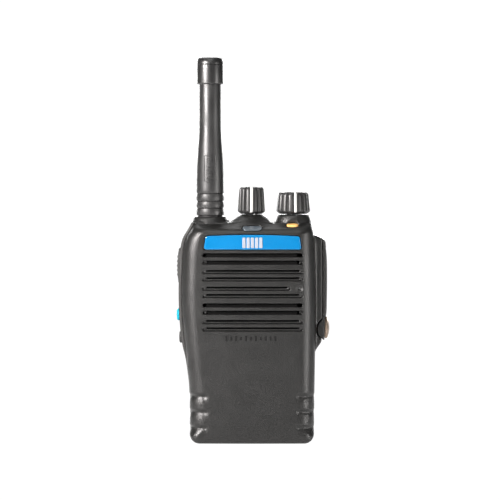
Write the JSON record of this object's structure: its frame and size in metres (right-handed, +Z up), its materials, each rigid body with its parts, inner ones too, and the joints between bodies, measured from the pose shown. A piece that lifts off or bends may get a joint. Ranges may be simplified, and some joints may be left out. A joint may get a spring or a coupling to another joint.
{
  "type": "portable two-way radio",
  "caption": "Submersible hand-held two-way radio with a stub antenna, rotary volume and channel knobs, side keys, speaker grille and a slide-off battery with a belt clip.",
  "frame": {"origin": "on the flat base the radio stands on, in the middle of its width and of its depth", "axes": "+Z up along the antenna, +X to the right seen from the front, where the accessory cover is, +Y from the grille to the battery and belt clip"},
  "size_m": [0.0756, 0.0507, 0.19],
  "materials": {
    "case_plastic": "fine moulded grain, satin black",
    "seal_rubber": "smooth black seal rubber",
    "key_rubber": "matt black silicone",
    "cyan_rubber": "matt cyan silicone",
    "badge_blue": "satin blue printed plate",
    "badge_silver": "silver print",
    "mesh_black": "matt black mesh",
    "steel": "plain steel",
    "magnet_grey": "nickel grey",
    "can_tin": "tinned sheet",
    "led_lens": "smoked grey lens",
    "board_green": "green solder mask",
    "switch_board": "grey switches on a small board",
    "socket_black": "black connector plastic",
    "brass": "turned brass",
    "contact_gold": "gold plated",
    "knob_black": "satin black, softly worn flutes",
    "pointer_white": "white inlay",
    "antenna_rubber": "matt black rubber",
    "antenna_cap": "semi-gloss black",
    "coil_copper": "copper wire",
    "alarm_orange": "bright orange",
    "screw_bronze": "dull bronze, knurled",
    "cell_wrap": "blue cell wrap"
  },
  "bodies": {
    "radio": {"front_case": "case_plastic", "rear_chassis": "case_plastic", "main_seal": "seal_rubber", "side_key_strip": "key_rubber", "name_badge": "badge_blue", "badge_emblem": "badge_silver", "speaker_mesh": "mesh_black", "speaker_cone": "mesh_black", "speaker_frame": "steel", "case_screws": "steel", "volume_control": "steel", "channel_selector": "steel", "latch_spring": "steel", "speaker_magnet": "magnet_grey", "microphone": "can_tin", "shield_cans": "can_tin", "led_window": "led_lens", "main_board": "board_green", "side_switches": "switch_board", "emergency_switch": "switch_board", "accessory_socket": "socket_black", "antenna_bush": "brass", "screw_insert": "brass", "socket_contacts": "contact_gold", "battery_terminals": "contact_gold"},
    "ptt_button": {"ptt_button": "key_rubber"},
    "upper_key": {"upper_key": "cyan_rubber"},
    "lower_key": {"lower_key": "key_rubber"},
    "emergency_button": {"emergency_button": "alarm_orange"},
    "volume_knob": {"volume_knob": "knob_black", "volume_shaft": "steel", "volume_pointer": "pointer_white"},
    "channel_knob": {"channel_knob": "knob_black", "channel_shaft": "steel", "channel_pointer": "pointer_white"},
    "antenna_seal": {"antenna_seal": "seal_rubber"},
    "antenna": {"antenna_whip": "antenna_rubber", "antenna_cap": "antenna_cap", "antenna_stud": "brass", "antenna_coil": "coil_copper", "antenna_label": "antenna_rubber"},
    "connector_cover": {"connector_cover": "case_plastic", "cover_gasket": "seal_rubber"},
    "cover_screw": {"cover_screw": "screw_bronze"},
    "battery": {"battery_case": "case_plastic", "battery_lid": "case_plastic", "battery_cells": "cell_wrap", "battery_pads": "contact_gold", "charge_contacts": "contact_gold", "clip_bracket": "case_plastic", "clip_screws": "steel", "clip_pin": "steel", "clip_spring": "steel"},
    "battery_latch": {"battery_latch": "case_plastic"},
    "belt_clip": {"belt_clip": "case_plastic"}
  },
  "joints": [
    {"name": "ptt_press", "type": "slide", "parent": "radio", "child": "ptt_button", "axis": [1, 0, 0], "range_m": [0, 0.0011], "stiffness_N_per_m": 1800, "springref_m": -0.0008},
    {"name": "upper_key_press", "type": "slide", "parent": "radio", "child": "upper_key", "axis": [1, 0, 0], "range_m": [0, 0.0008], "stiffness_N_per_m": 1800, "springref_m": -0.0008},
    {"name": "lower_key_press", "type": "slide", "parent": "radio", "child": "lower_key", "axis": [1, 0, 0], "range_m": [0, 0.0008], "stiffness_N_per_m": 1800, "springref_m": -0.0008},
    {"name": "emergency_press", "type": "slide", "parent": "radio", "child": "emergency_button", "axis": [0, 0.5, -0.866], "range_m": [0, 0.0008], "stiffness_N_per_m": 1800, "springref_m": -0.0008},
    {"name": "volume_turn", "type": "hinge", "parent": "radio", "child": "volume_knob", "pos_m": [0, -0.004, 0.112], "axis": [0, 0, 1], "range_deg": [-140, 140]},
    {"name": "channel_turn", "type": "hinge", "parent": "radio", "child": "channel_knob", "pos_m": [0.0207, -0.004, 0.112], "axis": [0, 0, 1], "range_deg": [-168.75, 168.75]},
    {"name": "antenna_lift", "type": "slide", "parent": "radio", "child": "antenna_seal", "axis": [0, 0, 1], "range_m": [0, 0.006]},
    {"name": "antenna_turn", "type": "hinge", "parent": "antenna_seal", "child": "antenna", "pos_m": [-0.02035, -0.004, 0.112], "axis": [0, 0, 1], "range_deg": [0, 2160]},
    {"name": "cover_lift", "type": "slide", "parent": "radio", "child": "connector_cover", "axis": [1, 0, 0], "range_m": [0, 0.0035]},
    {"name": "cover_screw_turn", "type": "hinge", "parent": "connector_cover", "child": "cover_screw", "pos_m": [0.036, -0.004, 0.0565], "axis": [1, 0, 0], "range_deg": [0, 1800]},
    {"name": "battery_slide", "type": "slide", "parent": "radio", "child": "battery", "axis": [0, 0, -1], "range_m": [0, 0.012]},
    {"name": "latch_press", "type": "slide", "parent": "radio", "child": "battery_latch", "axis": [0, -1, 0], "range_m": [0, 0.0015], "stiffness_N_per_m": 1500, "springref_m": -0.001},
    {"name": "clip_swing", "type": "hinge", "parent": "battery", "child": "belt_clip", "pos_m": [0, 0.0246, 0.07], "axis": [1, 0, 0], "range_deg": [0, 18], "stiffness_Nm_per_rad": 0.6, "springref_deg": -20.05}
  ],
  "couplings": [
    {"joint": "antenna_turn", "follows": "antenna_lift", "rad_per_m": 6283.2},
    {"joint": "cover_screw_turn", "follows": "cover_lift", "rad_per_m": 8976}
  ]
}
